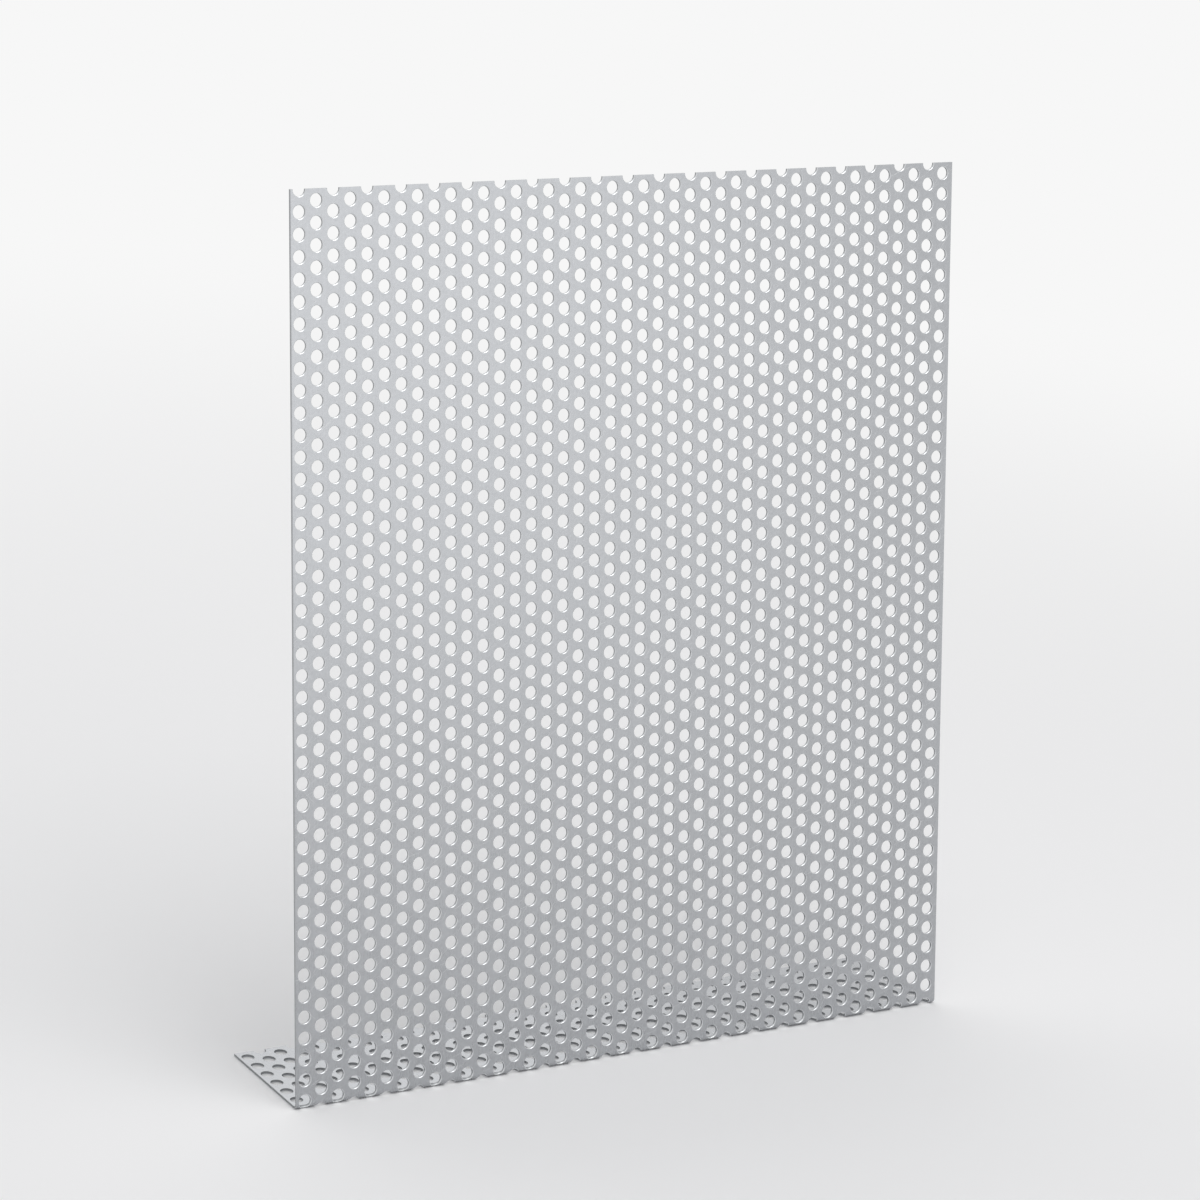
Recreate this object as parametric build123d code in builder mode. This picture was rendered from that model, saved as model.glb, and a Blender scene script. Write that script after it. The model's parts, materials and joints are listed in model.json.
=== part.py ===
from build123d import *
import os
from math import asin, ceil, cos, degrees, floor, radians, sin

# A perforated sheet folded once: an upright panel that leans back over a short foot.
# Millimetres and degrees. X runs along the fold, +Y towards the back, +Z up.
# The origin is the centre of the foot's underside, which stands on the floor.

# The sheet
sheet_width = 292.3
sheet_thickness = 1.0
panel_length = 337.8  # flat part of the panel, from the bend to the top edge
foot_length = 48.5  # flat part of the foot, from the bend to the back edge

# The bend
bend_inside_radius = 1.0
panel_lean = 9.0  # the panel's lean from upright, back over the foot
bend_skew = 0.24  # the fold runs this much out of line with the rows of holes
neutral_share = 0.4  # depth of the unstretched layer, as a share of the thickness

# The perforation: round holes staggered at 60 degrees, in upright columns
hole_diameter = 5.0
hole_pitch = 8.0
side_margin = 3.55  # left edge to the centres of the first column
top_margin = 0.2  # top edge to the centres of the row of holes that it cuts through

# How the holes that run into the bend are cut
bend_sections = 5  # sections that carry a hole's outline round the bend
rim_end = 84  # degrees round a hole from its middle at which its rounded end is closed

hole_radius = hole_diameter / 2
column_step = hole_pitch * sin(radians(60))
row_step = hole_pitch / 2

bend_outside_radius = bend_inside_radius + sheet_thickness
bend_turn = 90 + panel_lean
bend_length = radians(bend_turn) * (bend_inside_radius + neutral_share * sheet_thickness)
blank_length = panel_length + bend_length + foot_length
foot_depth = bend_outside_radius + foot_length

# The sides are square with the rows, so the skewed fold between them is a hair longer
fold_width = sheet_width / cos(radians(bend_skew))
bend_axis = Axis((0, bend_outside_radius - foot_depth / 2, bend_outside_radius), (1, 0, 0))


def outward(turn):
    """Direction from the bend's axis to the skin, a turn down and back from the panel's face."""
    angle = radians(panel_lean - turn)
    return Vector(0, -cos(angle), sin(angle))


def skin_plane(turn):
    """Plane on the sheet's outer skin, with its Y up the blank, towards the panel's top."""
    return Plane(bend_axis.position + outward(turn) * bend_outside_radius, (1, 0, 0), outward(turn))


def section_plane(turn, across):
    """Plane that cuts the bend through its axis, with its origin halfway through the sheet."""
    middle = bend_axis.position + outward(turn) * (bend_outside_radius - sheet_thickness / 2)
    return Plane(middle + Vector(across, 0, 0), (1, 0, 0), Vector(1, 0, 0).cross(outward(turn)))


def hole_centres():
    """Centres on the flat blank: X from its middle, Y up from where the panel meets the bend."""
    column_count = floor((sheet_width - side_margin - hole_radius) / column_step) + 1
    first_row = ceil((-hole_radius - top_margin) / row_step)
    last_row = floor((blank_length + hole_radius - top_margin) / row_step)
    centres = []
    for column in range(column_count):
        across = side_margin + column * column_step - sheet_width / 2
        for row in range(first_row, last_row + 1):
            if (row - column) % 2 == 0:
                up = panel_length - top_margin - row * row_step
                centres.append(Vector(across, up).rotate(Axis.Z, bend_skew))
    return centres


def flat_wing(skin, length, side, centres):
    """A flat part of the sheet with its holes, from the bend up (side 1) or down (side -1)."""
    whole = []
    cut = []
    for centre in centres:
        from_bend = side * centre.Y
        from_end = length - side * centre.rotate(Axis.Z, -bend_skew).Y
        if min(from_bend, from_end) > hole_radius:
            whole.append(Wire.make_circle(hole_radius, Plane(skin * Location(centre))))
        elif min(from_bend, from_end) > -hole_radius:
            cut.append(centre)
    away_from_bend = Align.MIN if side > 0 else Align.MAX
    with BuildSketch(skin) as outline:
        Rectangle(sheet_width, 2 * length, rotation=bend_skew)
        Rectangle(2 * sheet_width, 2 * length, align=(Align.CENTER, away_from_bend), mode=Mode.INTERSECT)
        with Locations(*cut):
            Circle(hole_radius, mode=Mode.SUBTRACT)
    with BuildPart() as wing:
        extrude(Face(outline.sketch.face().outer_wire(), whole), amount=-sheet_thickness)
    return wing.part


def bend_cutters(centres):
    """Each hole's outline where it runs into the bend, as a solid wrapped round the bend."""
    cutters = []
    for centre in centres:
        start = max(-1, (-bend_length - centre.Y) / hole_radius)
        end = min(1, -centre.Y / hole_radius)
        if end <= start:
            continue
        first = max(-rim_end, degrees(asin(start)))
        last = min(rim_end, degrees(asin(end)))
        with BuildPart() as cutter:
            for index in range(bend_sections):
                angle = radians(first + (last - first) * index / (bend_sections - 1))
                turn = -(centre.Y + hole_radius * sin(angle)) / bend_length * bend_turn
                with BuildSketch(section_plane(turn, centre.X)):
                    Rectangle(2 * hole_radius * cos(angle), sheet_thickness + bend_inside_radius)
            loft()
        cutters.append(cutter.part)
    return cutters


centres = hole_centres()
panel = flat_wing(skin_plane(0), panel_length, 1, centres)

foot_centres = [centre + Vector(0, bend_length) for centre in centres]
foot = flat_wing(skin_plane(bend_turn), foot_length, -1, foot_centres)

with BuildPart() as bend:
    with BuildSketch(section_plane(0, 0)):
        Rectangle(fold_width, sheet_thickness)
    revolve(axis=bend_axis, revolution_arc=bend_turn)
    add(bend_cutters(centres), mode=Mode.SUBTRACT)

with BuildPart() as perforated_sheet:
    add(foot)
    add(bend.part)
    add(panel)
perforated_sheet.part.label = "perforated_sheet"

os.makedirs("parts", exist_ok=True)
export_step(perforated_sheet.part, "parts/perforated_sheet.step")
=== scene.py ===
import json
from math import ceil, cos, floor, pi, radians, sin

import bmesh
import bpy
import numpy as np
from bpy.props import FloatProperty, FloatVectorProperty, IntProperty, PointerProperty
from mathutils import Matrix, Vector


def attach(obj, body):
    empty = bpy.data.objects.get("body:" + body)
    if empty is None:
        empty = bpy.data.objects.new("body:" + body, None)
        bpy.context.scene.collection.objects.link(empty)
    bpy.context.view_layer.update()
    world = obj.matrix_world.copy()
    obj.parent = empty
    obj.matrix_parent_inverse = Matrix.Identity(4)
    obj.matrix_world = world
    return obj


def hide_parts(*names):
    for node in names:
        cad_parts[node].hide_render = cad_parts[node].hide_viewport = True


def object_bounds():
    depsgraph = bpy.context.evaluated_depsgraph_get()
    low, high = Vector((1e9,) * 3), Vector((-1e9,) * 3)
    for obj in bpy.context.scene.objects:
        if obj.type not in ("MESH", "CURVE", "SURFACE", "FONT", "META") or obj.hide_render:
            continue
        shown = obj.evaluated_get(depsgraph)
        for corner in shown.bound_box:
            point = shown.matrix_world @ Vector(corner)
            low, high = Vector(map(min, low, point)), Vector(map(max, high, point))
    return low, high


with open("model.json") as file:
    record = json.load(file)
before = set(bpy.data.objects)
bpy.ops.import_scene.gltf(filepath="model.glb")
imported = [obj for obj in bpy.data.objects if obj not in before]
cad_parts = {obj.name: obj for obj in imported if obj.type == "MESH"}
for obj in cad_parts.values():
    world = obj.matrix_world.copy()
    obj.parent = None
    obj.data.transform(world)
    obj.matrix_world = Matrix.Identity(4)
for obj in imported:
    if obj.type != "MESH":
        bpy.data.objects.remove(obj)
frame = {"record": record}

bl_info = {
    "name": "Folded perforated sheet",
    "version": (1, 0, 0),
    "blender": (4, 5, 0),
    "location": "3D View > Sidebar > Perforated sheet",
    "description": "Punches a staggered round perforation, folds the sheet and sets it in a studio",
    "category": "Object",
}

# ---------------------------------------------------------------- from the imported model

NODE = "perforated_sheet"
CAD_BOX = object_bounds()
MOUNTS = {mount["name"]: mount for mount in frame["record"]["mounts"]}
PANEL_HOLE = MOUNTS["panel_hole_top_left"]
HOLE_RADIUS = PANEL_HOLE["dims"]["r_mm"] / 1000
THICKNESS = PANEL_HOLE["dims"]["length_mm"] / 1000
PANEL_NORMAL = Vector(PANEL_HOLE["axis"])
MM = 0.001
ALMOST_NOTHING = 0.005 * MM  # points nearer than this are one point
ON_THE_CUT = ALMOST_NOTHING / 10  # points nearer than this to a cut lie on it
SHARP = radians(50)  # edges with more than this between their faces are sharp
FLAT = 0.9999  # faces whose normals rise by more than this belong to the blank's two skins
SKIN, RIM, CUT = 0, 1, 2  # the sheet's materials, in the order of its slots
SEAMS = (0.63, 0.28)  # where the three pieces meet, as shares of the panel's length
# specks of metal left standing on the top edge: how far from the left side, and how high
BURRS = ((9.9 * MM, 0.35 * MM), (97.2 * MM, 0.2 * MM), (104.8 * MM, 0.25 * MM), (105.9 * MM, 0.3 * MM))
# sets of scratches: their angle, the mm from one to the next, a shift of their gaps, how much shows
SCRATCHES = (
    (0.95, 3.1, 3.0, 0.45),
    (1.3, 4.3, 11.0, 0.42),
    (0.55, 5.9, 31.0, 0.42),
    (-0.8, 7.7, 23.0, 0.42),
)
SCRATCH_WIDTH, SCRATCH_LENGTH = 0.15, 7.0  # in mm, and real ones are finer than this
WAVER = 2.5  # how far a scratch strays from its line, in spacings of its set
# a Mix node's sockets for colours, which share their names with those for other values
MIX_A, MIX_B, MIXED = 6, 7, 2
# the front lamp's turn away from where the panel would mirror it straight to the camera
SHORT_OF_MIRROR = radians(19)
FRONT_LAMP_DISTANCE = 1.6


# ---------------------------------------------------------------- sizes and colours to change


def colour(code):
    """Linear RGBA of an sRGB hex code."""
    parts = [int(code[i:i + 2], 16) / 255 for i in (1, 3, 5)]
    return [p / 12.92 if p <= 0.04045 else ((p + 0.055) / 1.055) ** 2.4 for p in parts] + [1.0]


def colour_property(name, description, code):
    return FloatVectorProperty(
        name=name, description=description, default=colour(code), size=4, subtype="COLOR"
    )


class SheetSizes(bpy.types.PropertyGroup):
    """Sizes of the folded sheet."""

    width: FloatProperty(
        name="Sheet width", description="Length of the fold", default=292.3 * MM, subtype="DISTANCE"
    )
    panel_length: FloatProperty(
        name="Panel length", description="Flat part above the bend", default=337.8 * MM, subtype="DISTANCE"
    )
    foot_length: FloatProperty(
        name="Foot length", description="Flat part behind the bend", default=48.5 * MM, subtype="DISTANCE"
    )
    thickness: FloatProperty(
        name="Thickness", description="Gauge of the sheet", default=THICKNESS, subtype="DISTANCE"
    )
    bend_radius: FloatProperty(
        name="Bend radius", description="Inside radius of the bend", default=1.0 * MM, subtype="DISTANCE"
    )
    neutral_share: FloatProperty(
        name="Neutral layer", description="Depth of the unstretched layer, as a share of the thickness",
        default=0.4, subtype="FACTOR",
    )
    bend_skew: FloatProperty(
        name="Bend skew", description="Turn between the fold and the rows", default=radians(0.24),
        subtype="ANGLE",
    )
    hole_radius: FloatProperty(
        name="Hole radius", description="Radius of each round hole", default=HOLE_RADIUS, subtype="DISTANCE"
    )
    hole_pitch: FloatProperty(
        name="Hole pitch", description="Centre to centre of the holes", default=8.0 * MM, subtype="DISTANCE"
    )
    side_margin: FloatProperty(
        name="Side margin", description="Left edge to the first column",
        default=3.55 * MM, subtype="DISTANCE",
    )
    top_margin: FloatProperty(
        name="Top margin", description="Top edge to the row that it cuts",
        default=0.2 * MM, subtype="DISTANCE",
    )
    rim_radius: FloatProperty(
        name="Rim radius", description="Rounding that the punch leaves at the front of a hole",
        default=0.25 * MM, subtype="DISTANCE",
    )
    edge_rounding: FloatProperty(
        name="Edge rounding", description="Rounding that the shear leaves along the sides",
        default=0.12 * MM, subtype="DISTANCE",
    )
    rim_steps: IntProperty(name="Rim steps", description="Rings of faces in a rounded rim", default=2)
    hole_sides: IntProperty(name="Hole sides", description="Faces round a hole, in eights", default=24)
    bend_steps: IntProperty(name="Bend steps", description="Faces round the bend", default=10)


class MetalFinish(bpy.types.PropertyGroup):
    """Colours of the metal."""

    skin: colour_property("Skin", "The rolled skin, where it is darkest", "#A8AAAD")
    skin_light: colour_property("Light skin", "The rolled skin, where it is lightest", "#B3B5B8")
    # the scratches' lighter colour is real wear and also a painted glint
    scratch: colour_property("Scratches", "Fresh metal in the handling scratches", "#DADBDC")
    # the rims' colour is lighter than the skin: a painted highlight ring round each hole, on the real smooth
    # rim
    rim: colour_property("Rims", "The rounded rims at the front of the holes", "#D4D6D8")
    burnished: colour_property("Burnished edge", "Smooth band of a punched edge, at the front", "#B4B6B8")
    torn: colour_property("Torn edge", "Rough band of a punched edge, at the back", "#9A9C9E")


class StudioSettings(bpy.types.PropertyGroup):
    """The floor, the surroundings and the camera."""

    floor_width: FloatProperty(
        name="Floor width", description="Side of the square floor", default=20, subtype="DISTANCE"
    )
    floor_near: FloatProperty(
        name="Shadow reach", description="Within this far of the sheet the floor takes shadows",
        default=0.25, subtype="DISTANCE",
    )
    floor_far: FloatProperty(
        name="Backdrop reach", description="Beyond this far the floor is an even pale backdrop",
        default=1.3, subtype="DISTANCE",
    )
    floor_colour: colour_property("Floor", "Paper under the sheet", "#F2F2F3")
    backdrop: FloatProperty(
        name="Backdrop", description="Brightness of the backdrop, 1 is white", default=0.93
    )
    ambient: FloatProperty(name="Ambient", description="Strength of the even light all round", default=0.5)
    camera_place: FloatVectorProperty(
        name="Camera place", description="Where the camera stands", default=(-0.8334, -1.2396, 0.6516),
        subtype="TRANSLATION",
    )
    camera_azimuth: FloatProperty(
        name="Camera azimuth", description="Turn of the view to the right of +Y", default=radians(33.34),
        subtype="ANGLE",
    )
    camera_elevation: FloatProperty(
        name="Camera elevation", description="How far the view looks down", default=radians(17.66),
        subtype="ANGLE",
    )
    camera_roll: FloatProperty(
        name="Camera roll", description="Turn of the picture", default=radians(5.587), subtype="ANGLE"
    )
    lens: FloatProperty(
        name="Lens", description="Focal length in mm on a 36 mm frame",
        default=123.9, subtype="DISTANCE_CAMERA",
    )


# ---------------------------------------------------------------- small helpers


def node(tree, kind, links=None, **settings):
    """Adds a node with its settings.

    links gives its inputs, by name or number, a value, an output or a node for that node's first output.
    """
    made = tree.nodes.new(kind)
    for name, value in settings.items():
        setattr(made, name, value)
    for key, value in (links or {}).items():
        if isinstance(value, bpy.types.Node):
            value = value.outputs[0]
        if isinstance(value, bpy.types.NodeSocket):
            tree.links.new(value, made.inputs[key])
        else:
            made.inputs[key].default_value = value
    return made


# ---------------------------------------------------------------- the folded shape


class Fold:
    """Takes points of the flat blank to their places in the folded sheet.

    On the blank X runs along the fold, Y up from where the panel meets the bend, and Z is 0 on
    the outer skin and less inside the sheet.
    """

    def __init__(self, sizes):
        self.outer = sizes.bend_radius + sizes.thickness
        self.lean = np.arctan2(PANEL_NORMAL.z, -PANEL_NORMAL.y)
        self.turn = pi / 2 + self.lean
        self.length = self.turn * (sizes.bend_radius + sizes.neutral_share * sizes.thickness)
        self.axis_y = self.outer - (self.outer + sizes.foot_length) / 2
        self.axis_z = self.outer

    def frames(self, up):
        """The outward and upward directions (as Y and Z) at these heights on the blank."""
        angle = self.lean - np.clip(-up / self.length, 0, 1) * self.turn
        return np.stack([-np.cos(angle), np.sin(angle)], 1), np.stack([np.sin(angle), np.cos(angle)], 1)

    def place(self, points):
        """The folded sheet's points for these points of the blank."""
        outward, upward = self.frames(points[:, 1])
        beyond = points[:, 1] - np.clip(points[:, 1], -self.length, 0)
        yz = outward * (self.outer + points[:, 2])[:, None] + upward * beyond[:, None]
        return np.column_stack([points[:, 0], self.axis_y + yz[:, 0], self.axis_z + yz[:, 1]])

    def turn_normals(self, normals, up):
        """The folded sheet's normals for the blank's, at these heights on it."""
        outward, upward = self.frames(up)
        yz = upward * normals[:, 1:2] + outward * normals[:, 2:3]
        return np.column_stack([normals[:, 0], yz])


# ---------------------------------------------------------------- the perforation


def cell_mesh(sizes, materials):
    """One hole in its share of the sheet: a rectangle a column wide and a pitch high."""
    half_wide = sizes.hole_pitch * sin(radians(60)) / 2
    half_high = sizes.hole_pitch / 2
    corners = [(1, 0), (1, 1), (-1, 1), (-1, 0), (-1, -1), (1, -1)]
    sides = sizes.hole_sides
    # where the arc under each stretch of the rectangle's outline starts, counted round the hole
    starts = [0, sides // 8, 3 * sides // 8, sides // 2, 5 * sides // 8, 7 * sides // 8, sides]
    bm = bmesh.new()

    def ring(radius, depth):
        turns = [2 * pi * i / sides for i in range(sides)]
        return [bm.verts.new((radius * cos(a), radius * sin(a), -depth)) for a in turns]

    rings = []
    for step in range(sizes.rim_steps + 1):
        slope = pi / 2 * step / sizes.rim_steps
        radius = sizes.hole_radius + sizes.rim_radius * (1 - sin(slope))
        rings.append(ring(radius, sizes.rim_radius * (1 - cos(slope))))
    rings.append(ring(sizes.hole_radius, sizes.thickness))
    for upper, lower in zip(rings, rings[1:]):
        for i in range(sides):
            j = (i + 1) % sides
            face = bm.faces.new([upper[i], lower[i], lower[j], upper[j]])
            face.material_index = CUT if lower is rings[-1] else RIM
    for circle, depth in ((rings[0], 0), (rings[-1], sizes.thickness)):
        outline = [bm.verts.new((x * half_wide, y * half_high, -depth)) for x, y in corners]
        for i in range(len(corners)):
            arc = [circle[k % sides] for k in range(starts[i], starts[i + 1] + 1)]
            face = [outline[i], outline[(i + 1) % len(corners)]] + arc[::-1]
            bm.faces.new(face if depth == 0 else face[::-1])
    for face in bm.faces:
        face.smooth = True
    mesh = bpy.data.meshes.new("hole_cell")
    bm.to_mesh(mesh)
    bm.free()
    for material in materials:
        mesh.materials.append(material)
    return mesh


def perforation_tree():
    """Geometry Nodes that lay the hole's cell out in staggered columns and close the sides."""
    tree = bpy.data.node_groups.new("Staggered_perforation", "GeometryNodeTree")
    inputs = {
        "Cell": "NodeSocketObject",
        "Columns": "NodeSocketInt",
        "Rows": "NodeSocketInt",
        "Column step": "NodeSocketFloat",
        "Hole pitch": "NodeSocketFloat",
        "Left margin": "NodeSocketFloat",
        "Right margin": "NodeSocketFloat",
        "Thickness": "NodeSocketFloat",
        "Edge rounding": "NodeSocketFloat",
        "Skin": "NodeSocketMaterial",
        "Rims": "NodeSocketMaterial",
        "Cut edges": "NodeSocketMaterial",
    }
    for name, kind in inputs.items():
        tree.interface.new_socket(name, in_out="INPUT", socket_type=kind)
    tree.interface.new_socket("Geometry", in_out="OUTPUT", socket_type="NodeSocketGeometry")
    given = node(tree, "NodeGroupInput").outputs
    step, pitch = given["Column step"], given["Hole pitch"]
    thickness, rounding = given["Thickness"], given["Edge rounding"]
    place = node(tree, "ShaderNodeSeparateXYZ", {0: node(tree, "GeometryNodeInputPosition")})
    across, depth = place.outputs["X"], place.outputs["Z"]

    # a grid of points, with every other column half a pitch lower
    column_gaps = node(tree, "ShaderNodeMath", {0: given["Columns"], 1: 1.0}, operation="SUBTRACT")
    spread = node(tree, "ShaderNodeMath", {0: column_gaps, 1: step}, operation="MULTIPLY")
    row_gaps = node(tree, "ShaderNodeMath", {0: given["Rows"], 1: 1.0}, operation="SUBTRACT")
    height = node(tree, "ShaderNodeMath", {0: row_gaps, 1: pitch}, operation="MULTIPLY")
    grid = node(tree, "GeometryNodeMeshGrid", {
        "Size X": spread, "Size Y": height, "Vertices X": given["Columns"], "Vertices Y": given["Rows"],
    })
    half_spread = node(tree, "ShaderNodeMath", {0: spread, 1: 0.5}, operation="MULTIPLY")
    from_first = node(tree, "ShaderNodeMath", {0: across, 1: half_spread}, operation="ADD")
    steps = node(tree, "ShaderNodeMath", {0: from_first, 1: step}, operation="DIVIDE")
    column = node(tree, "ShaderNodeMath", {0: steps}, operation="ROUND")
    odd = node(tree, "ShaderNodeMath", {0: column, 1: 2.0}, operation="MODULO")
    pitches = node(tree, "ShaderNodeMath", {0: odd, 1: -0.5}, operation="MULTIPLY")
    drop = node(tree, "ShaderNodeMath", {0: pitches, 1: pitch}, operation="MULTIPLY")
    staggered = node(tree, "GeometryNodeSetPosition", {
        "Geometry": grid, "Offset": node(tree, "ShaderNodeCombineXYZ", {"Y": drop}),
    })

    # the cells, joined into one skin in front and one behind
    cell = node(tree, "GeometryNodeObjectInfo", {"Object": given["Cell"], "As Instance": True})
    placed = node(tree, "GeometryNodeInstanceOnPoints", {
        "Points": staggered, "Instance": cell.outputs["Geometry"],
    })
    real = node(tree, "GeometryNodeRealizeInstances", {"Geometry": placed})
    merged = node(tree, "GeometryNodeMergeByDistance", {"Geometry": real, "Distance": ALMOST_NOTHING})

    # the outermost points go out to the sheet's sides, those in front by the edge's rounding less
    half_step = node(tree, "ShaderNodeMath", {0: step, 1: 0.5}, operation="MULTIPLY")
    cells_edge = node(tree, "ShaderNodeMath", {0: half_spread, 1: half_step}, operation="ADD")
    limit = node(tree, "ShaderNodeMath", {0: cells_edge, 1: ALMOST_NOTHING}, operation="SUBTRACT")
    other_limit = node(tree, "ShaderNodeMath", {0: limit, 1: -1.0}, operation="MULTIPLY")
    at_left = node(tree, "ShaderNodeMath", {0: across, 1: other_limit}, operation="LESS_THAN")
    at_right = node(tree, "ShaderNodeMath", {0: across, 1: limit}, operation="GREATER_THAN")
    outwards = node(tree, "ShaderNodeMath", {0: at_right, 1: at_left}, operation="SUBTRACT")
    halfway = node(tree, "ShaderNodeMath", {0: thickness, 1: -0.5}, operation="MULTIPLY")
    in_front = node(tree, "ShaderNodeMath", {0: depth, 1: halfway}, operation="GREATER_THAN")
    front_rounding = node(tree, "ShaderNodeMath", {0: in_front, 1: rounding}, operation="MULTIPLY")
    left = node(tree, "ShaderNodeMath", {0: at_left, 1: given["Left margin"]}, operation="MULTIPLY")
    right = node(tree, "ShaderNodeMath", {0: at_right, 1: given["Right margin"]}, operation="MULTIPLY")
    margin = node(tree, "ShaderNodeMath", {0: left, 1: right}, operation="ADD")
    past_cell = node(tree, "ShaderNodeMath", {0: margin, 1: half_step}, operation="SUBTRACT")
    way = node(tree, "ShaderNodeMath", {0: past_cell, 1: front_rounding}, operation="SUBTRACT")
    shift = node(tree, "ShaderNodeMath", {0: way, 1: outwards}, operation="MULTIPLY")
    trimmed = node(tree, "GeometryNodeSetPosition", {
        "Geometry": merged, "Offset": node(tree, "ShaderNodeCombineXYZ", {"X": shift}),
    })

    # the open outline in front is drawn out round the edge and back through the thickness
    neighbours = node(tree, "GeometryNodeInputMeshEdgeNeighbors").outputs["Face Count"]
    open_edge = node(tree, "ShaderNodeMath", {0: neighbours, 1: 1.5}, operation="LESS_THAN")
    front_edge = node(tree, "ShaderNodeMath", {0: open_edge, 1: in_front}, operation="MULTIPLY")
    rim = node(tree, "GeometryNodeExtrudeMesh", {
        "Mesh": trimmed, "Selection": front_edge, "Offset Scale": 0.0,
    }, mode="EDGES")
    side = node(tree, "ShaderNodeMath", {0: across}, operation="SIGN")
    out = node(tree, "ShaderNodeMath", {0: side, 1: rounding}, operation="MULTIPLY")
    back = node(tree, "ShaderNodeMath", {0: rounding, 1: -1.0}, operation="MULTIPLY")
    rounded = node(tree, "GeometryNodeSetPosition", {
        "Geometry": rim, "Selection": rim.outputs["Top"],
        "Offset": node(tree, "ShaderNodeCombineXYZ", {"X": out, "Z": back}),
    })
    down = node(tree, "ShaderNodeMath", {0: rounding, 1: thickness}, operation="SUBTRACT")
    wall = node(tree, "GeometryNodeExtrudeMesh", {
        "Mesh": rounded, "Selection": rim.outputs["Top"],
        "Offset": node(tree, "ShaderNodeCombineXYZ", {"Z": down}), "Offset Scale": 1.0,
    }, mode="EDGES")
    finished = node(tree, "GeometryNodeMergeByDistance", {"Geometry": wall, "Distance": ALMOST_NOTHING})

    # the cell's own slots tell its faces apart, so each material is set on its faces alone
    index = node(tree, "GeometryNodeInputMaterialIndex")
    is_rim = node(tree, "ShaderNodeMath", {0: index, 1: RIM, 2: 0.1}, operation="COMPARE")
    is_hole_wall = node(tree, "ShaderNodeMath", {0: index, 1: CUT, 2: 0.1}, operation="COMPARE")
    is_cut = node(tree, "ShaderNodeMath", {0: is_hole_wall, 1: wall.outputs["Side"]}, operation="MAXIMUM")
    is_other = node(tree, "ShaderNodeMath", {0: is_rim, 1: is_cut}, operation="MAXIMUM")
    is_skin = node(tree, "ShaderNodeMath", {0: 1.0, 1: is_other}, operation="SUBTRACT")
    for name, faces in (("Rims", is_rim), ("Cut edges", is_cut), ("Skin", is_skin)):
        finished = node(tree, "GeometryNodeSetMaterial", {
            "Geometry": finished, "Selection": faces, "Material": given[name],
        })
    node(tree, "NodeGroupOutput", {0: finished})
    return tree


def punched_blank(sizes, materials):
    """The flat perforated sheet as a bmesh, its holes laid out by Geometry Nodes."""
    cell = bpy.data.objects.new("hole_cell", cell_mesh(sizes, materials))
    bpy.context.scene.collection.objects.link(cell)
    step = sizes.hole_pitch * sin(radians(60))
    columns = floor((sizes.width - sizes.side_margin - sizes.hole_radius) / step) + 1
    bend_length = Fold(sizes).length
    rows = ceil((sizes.panel_length + bend_length + sizes.foot_length) / sizes.hole_pitch) + 2
    right_margin = sizes.width - sizes.side_margin - (columns - 1) * step
    tree = perforation_tree()
    values = {
        "Cell": cell, "Columns": columns, "Rows": rows, "Column step": step, "Hole pitch": sizes.hole_pitch,
        "Left margin": sizes.side_margin, "Right margin": right_margin, "Thickness": sizes.thickness,
        "Edge rounding": sizes.edge_rounding, "Skin": materials[SKIN], "Rims": materials[RIM],
        "Cut edges": materials[CUT],
    }
    blank = bpy.data.objects.new("blank", bpy.data.meshes.new("blank"))
    bpy.context.scene.collection.objects.link(blank)
    modifier = blank.modifiers.new("Perforation", "NODES")
    modifier.node_group = tree
    for socket in tree.interface.items_tree:
        if socket.in_out == "INPUT":
            modifier[socket.identifier] = values[socket.name]
    graph = bpy.context.evaluated_depsgraph_get()
    mesh = bpy.data.meshes.new_from_object(blank.evaluated_get(graph), depsgraph=graph)
    bm = bmesh.new()
    bm.from_mesh(mesh)
    # the grid is centred: the second of its rows lies on the row that the top edge cuts through
    centre_x = sizes.side_margin + (columns - 1) * step / 2 - sizes.width / 2
    first_up = sizes.panel_length - sizes.top_margin + sizes.hole_pitch
    centre_y = first_up - (rows - 1) * sizes.hole_pitch / 2
    bmesh.ops.translate(bm, verts=bm.verts, vec=(centre_x, centre_y, 0))
    for leftover in (blank, cell):
        bpy.data.objects.remove(leftover)
    bpy.data.meshes.remove(mesh)
    return bm


def shear(bm, height, normal_y):
    """Cuts the blank straight across, keeps the side away from normal_y and closes the cut."""
    everything = bm.verts[:] + bm.edges[:] + bm.faces[:]
    bmesh.ops.bisect_plane(
        bm, geom=everything, dist=ON_THE_CUT, plane_co=(0, height, 0), plane_no=(0, normal_y, 0),
        clear_outer=True,
    )
    open_edges = [edge for edge in bm.edges if edge.is_boundary]
    made = bmesh.ops.holes_fill(bm, edges=open_edges, sides=0)["faces"]
    for face in made:
        face.material_index = CUT
        face.smooth = True


def leave_burrs(bm, sizes):
    """Stands the burrs on the middle of the sheared top edge: blunt cones sunk as deep as they are high."""
    upright = Matrix.Rotation(-pi / 2, 4, "X")
    for along, high in BURRS:
        place = Vector((along - sizes.width / 2, sizes.panel_length, -sizes.thickness / 2))
        burr = bmesh.ops.create_cone(
            bm, cap_ends=True, segments=5, radius1=high, radius2=high / 8, depth=2 * high,
            matrix=Matrix.Translation(place) @ upright,
        )
        for face in {face for vert in burr["verts"] for face in vert.link_faces}:
            face.material_index = RIM
            face.smooth = True


def score(bm, height):
    """Adds a line of points across the blank, for the bend."""
    everything = bm.verts[:] + bm.edges[:] + bm.faces[:]
    bmesh.ops.bisect_plane(
        bm, geom=everything, dist=ON_THE_CUT, plane_co=(0, height, 0), plane_no=(0, 1, 0)
    )


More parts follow.
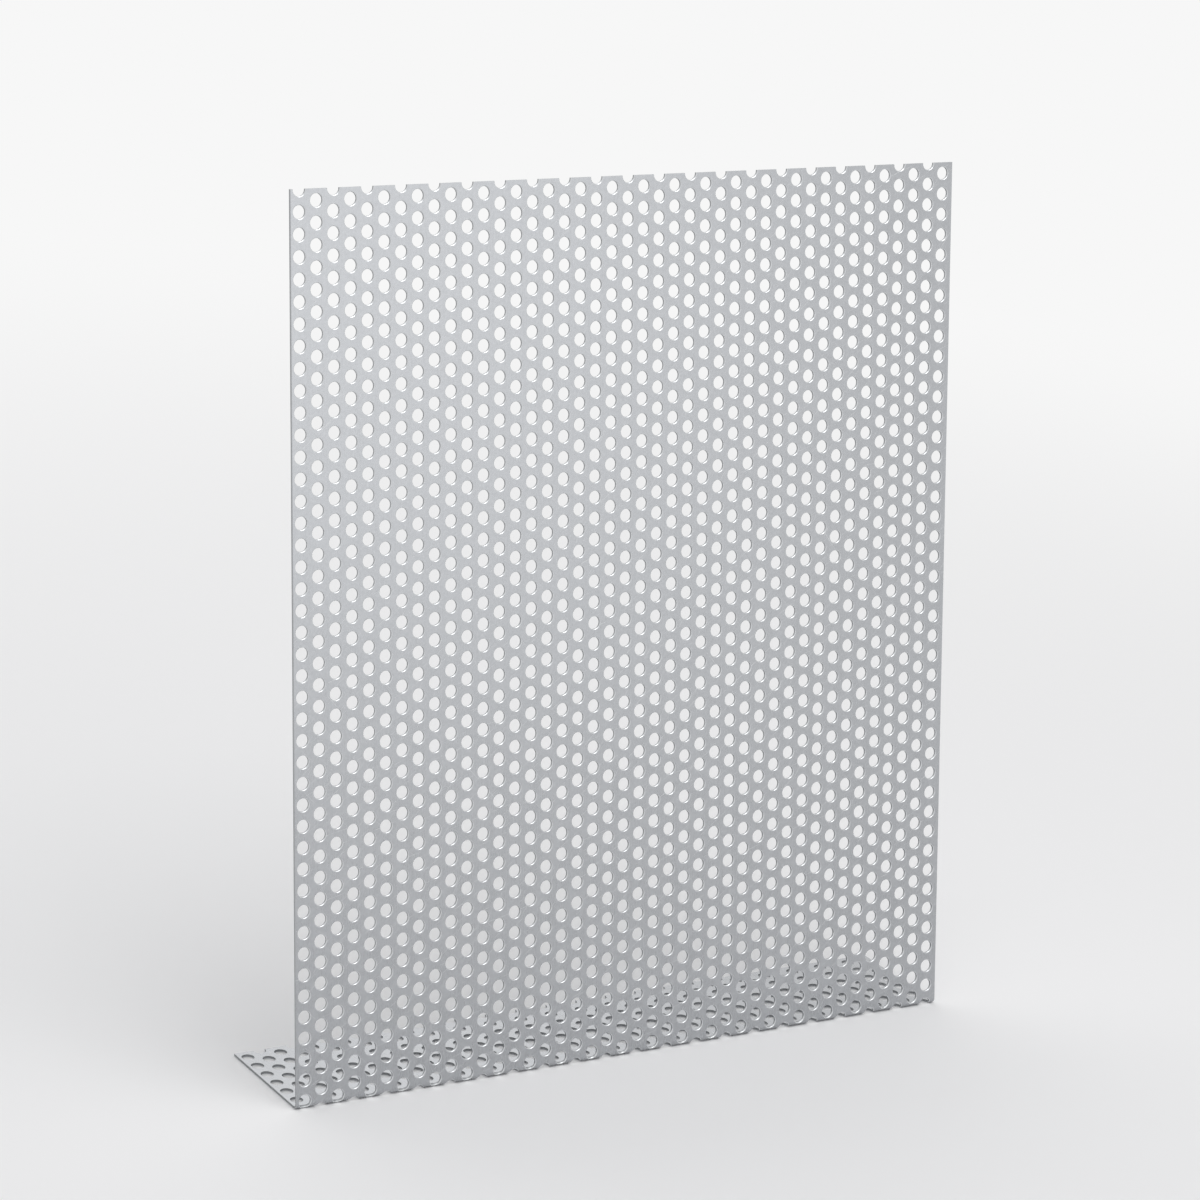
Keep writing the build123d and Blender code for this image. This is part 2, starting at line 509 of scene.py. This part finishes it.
def folded_piece(name, bm, fold, materials):
    """The flat bmesh as a folded object, with the normals of the true round bend."""
    bmesh.ops.recalc_face_normals(bm, faces=bm.faces)
    for edge in bm.edges:
        flat_sides = sum(abs(face.normal.z) > FLAT for face in edge.link_faces)
        edge.smooth = flat_sides != 1 and edge.calc_face_angle() < SHARP
    mesh = bpy.data.meshes.new(name)
    bm.to_mesh(mesh)
    for material in materials:
        mesh.materials.append(material)
    flat = np.empty(len(mesh.vertices) * 3)
    mesh.vertices.foreach_get("co", flat)
    flat = flat.reshape(-1, 3)
    corners = np.empty(len(mesh.loops), int)
    mesh.loops.foreach_get("vertex_index", corners)
    normals = np.empty(len(mesh.loops) * 3)
    mesh.corner_normals.foreach_get("vector", normals)
    normals = fold.turn_normals(normals.reshape(-1, 3), flat[corners, 1])
    blank_map = mesh.uv_layers.new(name="blank")
    blank_map.data.foreach_set("uv", flat[corners, :2].ravel())
    depth = mesh.attributes.new("depth", "FLOAT", "POINT")
    depth.data.foreach_set("value", -flat[:, 2] / THICKNESS)
    placed = fold.place(flat)
    # the foot of the real sheet lies 0.01 mm nearer the middle than one unbroken blank would
    placed[:, 0] = np.clip(placed[:, 0], CAD_BOX[0][0], CAD_BOX[1][0])
    mesh.vertices.foreach_set("co", placed.ravel())
    mesh.update()
    mesh.normals_split_custom_set(normals.tolist())
    piece = bpy.data.objects.new(name, mesh)
    bpy.context.scene.collection.objects.link(piece)
    return piece


# ---------------------------------------------------------------- materials


def new_material(name):
    material = bpy.data.materials.new(name)
    material.use_nodes = True
    material.node_tree.nodes.clear()
    return material, material.node_tree


def blank_coordinates(tree, turn, wide, long):
    """Position on the flat blank, turned and then counted in cells of wide by long millimetres."""
    flat = node(tree, "ShaderNodeUVMap", uv_map="blank")
    turned = node(tree, "ShaderNodeVectorRotate", {"Vector": flat, "Angle": turn}, rotation_type="Z_AXIS")
    cells = (1 / (wide * MM), 1 / (long * MM), 1)
    return node(tree, "ShaderNodeVectorMath", {0: turned, 1: cells}, operation="MULTIPLY")


def hairlines(tree, turn, spacing, shift, share):
    """Scratches at one angle: wavering lines, broken up into short lengths.

    They are drawn wider than real ones, which wouldn't show at arm's length.
    """
    lanes = node(tree, "ShaderNodeSeparateXYZ", {0: blank_coordinates(tree, turn, spacing, spacing)})
    waver = node(tree, "ShaderNodeTexNoise", {
        "Vector": blank_coordinates(tree, turn, 3 * spacing, 25 * spacing), "Scale": 1.0, "Detail": 0.0,
    })
    wavering = node(tree, "ShaderNodeMath", {0: waver, 1: WAVER, 2: lanes}, operation="MULTIPLY_ADD")
    # 0 at the lanes' borders and 0.5 on the line down the middle of each
    from_border = node(tree, "ShaderNodeMath", {0: wavering, 1: 0.5}, operation="PINGPONG")
    half_width = SCRATCH_WIDTH / 2 / spacing
    line = node(tree, "ShaderNodeMapRange", {
        "Value": from_border, "From Min": 0.5 - half_width, "From Max": 0.5,
    })
    patches = blank_coordinates(tree, turn, 0.8 * spacing, SCRATCH_LENGTH)
    elsewhere = node(tree, "ShaderNodeVectorMath", {0: patches, 1: (shift, 0, 0)}, operation="ADD")
    lengths = node(tree, "ShaderNodeTexNoise", {"Vector": elsewhere, "Scale": 1.0, "Detail": 0.0})
    # noise above 1 - share shows the scratch, which fades in over the next 0.15
    kept = node(tree, "ShaderNodeMapRange", {
        "Value": lengths, "From Min": 1 - share, "From Max": 1.15 - share,
    })
    return node(tree, "ShaderNodeMath", {0: line, 1: kept}, operation="MULTIPLY")


def mill_aluminium(finish):
    """Rolled aluminium sheet as it leaves the mill: satin, with rolling grain and handling scratches.

    The grain runs up the panel. It is really about 0.1 mm wide and is drawn coarser, to show.
    """
    material, tree = new_material("Mill_finish_aluminium")
    grain = node(tree, "ShaderNodeTexNoise", {
        "Vector": blank_coordinates(tree, 0.0, 0.6, 14.0), "Scale": 1.0,
    })
    speckle = node(tree, "ShaderNodeTexNoise", {
        "Vector": blank_coordinates(tree, 0.4, 1.1, 1.4), "Scale": 1.0, "Roughness": 0.6,
    })
    mottle = node(tree, "ShaderNodeTexNoise", {
        "Vector": blank_coordinates(tree, 0.3, 7.0, 12.0), "Scale": 1.0, "Detail": 3.0, "Roughness": 0.6,
    })
    scratches = hairlines(tree, *SCRATCHES[0])
    for others in SCRATCHES[1:]:
        lines = hairlines(tree, *others)
        scratches = node(tree, "ShaderNodeMath", {0: scratches, 1: lines}, operation="MAXIMUM")

    # the skin's tone comes from mottle and speckle, and the scratches lie lighter on it: real wear, with
    # their glint painted into the colour
    mottled = node(tree, "ShaderNodeMath", {0: mottle, 1: 0.4}, operation="MULTIPLY")
    tone = node(tree, "ShaderNodeMath", {0: speckle, 1: 0.6, 2: mottled}, operation="MULTIPLY_ADD")
    lightness = node(tree, "ShaderNodeMapRange", {"Value": tone, "From Min": 0.3, "From Max": 0.7})
    skin = node(tree, "ShaderNodeMix", {
        "Factor": lightness, MIX_A: finish.skin, MIX_B: finish.skin_light,
    }, data_type="RGBA").outputs[MIXED]
    # how much of the lighter scratch colour shows: a painted glint on the real scratches
    scratch_and_glint_share = node(tree, "ShaderNodeMath", {0: scratches, 1: 0.55}, operation="MULTIPLY")
    metal = node(tree, "ShaderNodeMix", {
        "Factor": scratch_and_glint_share, MIX_A: skin, MIX_B: finish.scratch,
    }, data_type="RGBA").outputs[MIXED]

    # satin, rougher in the mottle's light patches, on the grain's ridges and in the scratches
    rough = node(tree, "ShaderNodeMath", {0: mottle, 1: 0.08, 2: 0.2}, operation="MULTIPLY_ADD")
    rough = node(tree, "ShaderNodeMath", {0: grain, 1: 0.08, 2: rough}, operation="MULTIPLY_ADD")
    rough = node(tree, "ShaderNodeMath", {0: scratches, 1: 0.15, 2: rough}, operation="MULTIPLY_ADD")
    ridges = node(tree, "ShaderNodeMath", {0: grain, 1: 0.5}, operation="MULTIPLY")
    height = node(tree, "ShaderNodeMath", {0: ridges, 1: scratches}, operation="SUBTRACT")
    bump = node(tree, "ShaderNodeBump", {"Strength": 1.0, "Distance": 0.01 * MM, "Height": height})
    shader = node(tree, "ShaderNodeBsdfPrincipled", {
        "Base Color": metal, "Metallic": 1.0, "Roughness": rough, "Normal": bump,
    })
    node(tree, "ShaderNodeOutputMaterial", {"Surface": shader})
    return material


def burnished_rim_painted_highlight(finish):
    """The rim that the punch drags over at the front of a hole, which it leaves smooth; its colour, lighter
    than the skin, is a painted highlight ring round each hole.
    """
    material, tree = new_material("Burnished_rim_painted_highlight")
    shader = node(tree, "ShaderNodeBsdfPrincipled", {
        # the lighter rim colour paints the highlight ring round each hole
        "Base Color": finish.rim, "Metallic": 1.0, "Roughness": 0.25,
    })
    node(tree, "ShaderNodeOutputMaterial", {"Surface": shader})
    return material


def punched_metal(finish):
    """Punched and sheared edges: a smooth burnished band, then a dull torn one towards the back."""
    material, tree = new_material("Punched_aluminium_edge")
    depth = node(tree, "ShaderNodeAttribute", attribute_name="depth").outputs["Fac"]
    ragged = node(tree, "ShaderNodeTexNoise", {
        "Vector": blank_coordinates(tree, 0.0, 0.5, 0.5), "Scale": 1.0,
    })
    wander = node(tree, "ShaderNodeMath", {0: ragged, 1: 0.5}, operation="SUBTRACT")
    where = node(tree, "ShaderNodeMath", {0: wander, 1: 0.35, 2: depth}, operation="MULTIPLY_ADD")
    # the metal starts to tear a little short of halfway through
    torn = node(tree, "ShaderNodeMapRange", {"Value": where, "From Min": 0.42, "From Max": 0.52})
    metal = node(tree, "ShaderNodeMix", {
        "Factor": torn, MIX_A: finish.burnished, MIX_B: finish.torn,
    }, data_type="RGBA").outputs[MIXED]
    rough = node(tree, "ShaderNodeMapRange", {"Value": torn, "To Min": 0.35, "To Max": 0.6})
    shader = node(tree, "ShaderNodeBsdfPrincipled", {
        "Base Color": metal, "Metallic": 1.0, "Roughness": rough,
    })
    node(tree, "ShaderNodeOutputMaterial", {"Surface": shader})
    return material


def seen_directly(tree):
    """1 for what the camera sees, and what metal shows of it."""
    rays = node(tree, "ShaderNodeLightPath").outputs
    glossy, through = rays["Is Glossy Ray"], rays["Is Transmission Ray"]
    mirrored = node(tree, "ShaderNodeMath", {0: glossy, 1: through}, operation="MAXIMUM")
    return node(tree, "ShaderNodeMath", {0: rays["Is Camera Ray"], 1: mirrored}, operation="MAXIMUM")


def pale_paper(settings):
    """Matt paper that takes shadows near the sheet and runs out into an even pale backdrop."""
    material, tree = new_material("Pale_paper")
    place = node(tree, "ShaderNodeTexCoord").outputs["Object"]
    away = node(tree, "ShaderNodeVectorMath", {0: place}, operation="LENGTH").outputs["Value"]
    far = node(tree, "ShaderNodeMapRange", {
        "Value": away, "From Min": settings.floor_near, "From Max": settings.floor_far,
    }, interpolation_type="SMOOTHSTEP")
    paper = node(tree, "ShaderNodeBsdfPrincipled", {
        "Base Color": settings.floor_colour, "Roughness": 0.9, "Specular IOR Level": 0.1,
    })
    backdrop = node(tree, "ShaderNodeEmission", {"Color": colour("#FFFFFF"), "Strength": settings.backdrop})
    share = node(tree, "ShaderNodeMath", {0: far, 1: seen_directly(tree)}, operation="MULTIPLY")
    mix = node(tree, "ShaderNodeMixShader", {0: share, 1: paper, 2: backdrop})
    node(tree, "ShaderNodeOutputMaterial", {"Surface": mix})
    return material


def pale_room(settings):
    """Even light all round, which the camera and the metal see as the pale backdrop."""
    world = bpy.data.worlds.new("Studio")
    world.use_nodes = True
    tree = world.node_tree
    tree.nodes.clear()
    strength = node(tree, "ShaderNodeMapRange", {
        "Value": seen_directly(tree), "To Min": settings.ambient, "To Max": settings.backdrop,
    })
    light = node(tree, "ShaderNodeBackground", {"Color": colour("#FFFFFF"), "Strength": strength})
    node(tree, "ShaderNodeOutputWorld", {"Surface": light})
    return world


def lamp(name, place, aim, size, brightness):
    """A soft rectangular lamp. brightness is that of its face, where 1 is white."""
    data = bpy.data.lights.new(name, "AREA")
    data.shape = "RECTANGLE"
    data.size, data.size_y = size
    data.energy = pi * size[0] * size[1] * brightness
    made = bpy.data.objects.new(name, data)
    made.location = place
    made.rotation_euler = (Vector(aim) - Vector(place)).to_track_quat("-Z", "Y").to_euler()
    bpy.context.scene.collection.objects.link(made)


# ---------------------------------------------------------------- operators


class SHEET_OT_punch_and_fold(bpy.types.Operator):
    """Punches the blank, folds it and cuts it into three pieces that stand for the sheet."""

    bl_idname = "perforated_sheet.punch_and_fold"
    bl_label = "Punch and fold the sheet"

    def execute(self, context):
        sizes = context.scene.sheet_sizes
        fold = Fold(sizes)
        finish = context.scene.metal_finish
        materials = (mill_aluminium(finish), burnished_rim_painted_highlight(finish), punched_metal(finish))
        blank = punched_blank(sizes, materials)
        shear(blank, sizes.panel_length, 1)
        shear(blank, -fold.length - sizes.foot_length, -1)
        leave_burrs(blank, sizes)
        bmesh.ops.rotate(blank, verts=blank.verts, matrix=Matrix.Rotation(sizes.bend_skew, 3, "Z"))
        for step in range(sizes.bend_steps + 1):
            score(blank, -fold.length * step / sizes.bend_steps)
        seams = [None, *(sizes.panel_length * share for share in SEAMS), None]
        names = ["panel_top", "panel_middle", "panel_foot"]
        for name, above, below in zip(names, seams, seams[1:]):
            part = blank.copy()
            if above is not None:
                shear(part, above, 1)
            if below is not None:
                shear(part, below, -1)
            piece = folded_piece(name, part, fold, materials)
            part.free()
            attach(piece, "root")
            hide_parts(NODE)
        blank.free()
        return {"FINISHED"}


class SHEET_OT_studio(bpy.types.Operator):
    """Makes the floor, the lamps and the camera."""

    bl_idname = "perforated_sheet.studio"
    bl_label = "Set up the studio"

    def execute(self, context):
        scene = context.scene
        settings = scene.studio
        bpy.ops.mesh.primitive_plane_add(size=settings.floor_width)
        ground = context.active_object
        ground.name = "floor"
        ground.data.materials.append(pale_paper(settings))
        scene.world = pale_room(settings)
        scene.view_settings.view_transform = "Standard"

        # the panel mirrors the front lamp and the rims of its holes the top one, and the back one lights
        # the panel's back and the foot
        bearing = settings.camera_azimuth - SHORT_OF_MIRROR
        front = (FRONT_LAMP_DISTANCE * sin(bearing), -FRONT_LAMP_DISTANCE * cos(bearing), 0.6)
        lamp("front_softbox", place=front, aim=(0, 0, 0.2), size=(1.3, 1.1), brightness=0.65)
        lamp("top_softbox", place=(0.1, -0.45, 1.5), aim=(0, 0, 0.1), size=(1.0, 1.0), brightness=2.4)
        lamp("back_softbox", place=(0.0, 1.1, 1.35), aim=(0, 0, 0), size=(2.2, 1.4), brightness=0.8)

        data = bpy.data.cameras.new("Camera")
        data.lens = settings.lens
        camera = bpy.data.objects.new("Camera", data)
        azimuth, elevation = settings.camera_azimuth, settings.camera_elevation
        forward = Vector((sin(azimuth) * cos(elevation), cos(azimuth) * cos(elevation), -sin(elevation)))
        turn = forward.to_track_quat("-Z", "Y").to_matrix() @ Matrix.Rotation(settings.camera_roll, 3, "Z")
        camera.matrix_world = Matrix.LocRotScale(Vector(settings.camera_place), turn, None)
        scene.collection.objects.link(camera)
        scene.camera = camera
        return {"FINISHED"}


class SHEET_PT_panel(bpy.types.Panel):
    """Lists the steps and their sizes."""

    bl_idname = "SHEET_PT_panel"
    bl_label = "Perforated sheet"
    bl_space_type = "VIEW_3D"
    bl_region_type = "UI"
    bl_category = "Perforated sheet"

    def draw(self, context):
        scene = context.scene
        steps = (
            (SHEET_OT_punch_and_fold, (scene.sheet_sizes, scene.metal_finish)),
            (SHEET_OT_studio, (scene.studio,)),
        )
        for step, groups in steps:
            box = self.layout.box()
            for group in groups:
                for name in type(group).__annotations__:
                    box.prop(group, name)
            box.operator(step.bl_idname)


CLASSES = (SheetSizes, MetalFinish, StudioSettings, SHEET_OT_punch_and_fold, SHEET_OT_studio, SHEET_PT_panel)


def register():
    for kind in CLASSES:
        bpy.utils.register_class(kind)
    bpy.types.Scene.sheet_sizes = PointerProperty(type=SheetSizes)
    bpy.types.Scene.metal_finish = PointerProperty(type=MetalFinish)
    bpy.types.Scene.studio = PointerProperty(type=StudioSettings)


def unregister():
    del bpy.types.Scene.studio
    del bpy.types.Scene.metal_finish
    del bpy.types.Scene.sheet_sizes
    for kind in reversed(CLASSES):
        bpy.utils.unregister_class(kind)


def main():
    register()
    bpy.ops.perforated_sheet.punch_and_fold()
    bpy.ops.perforated_sheet.studio()


if __name__ == "__main__":
    main()
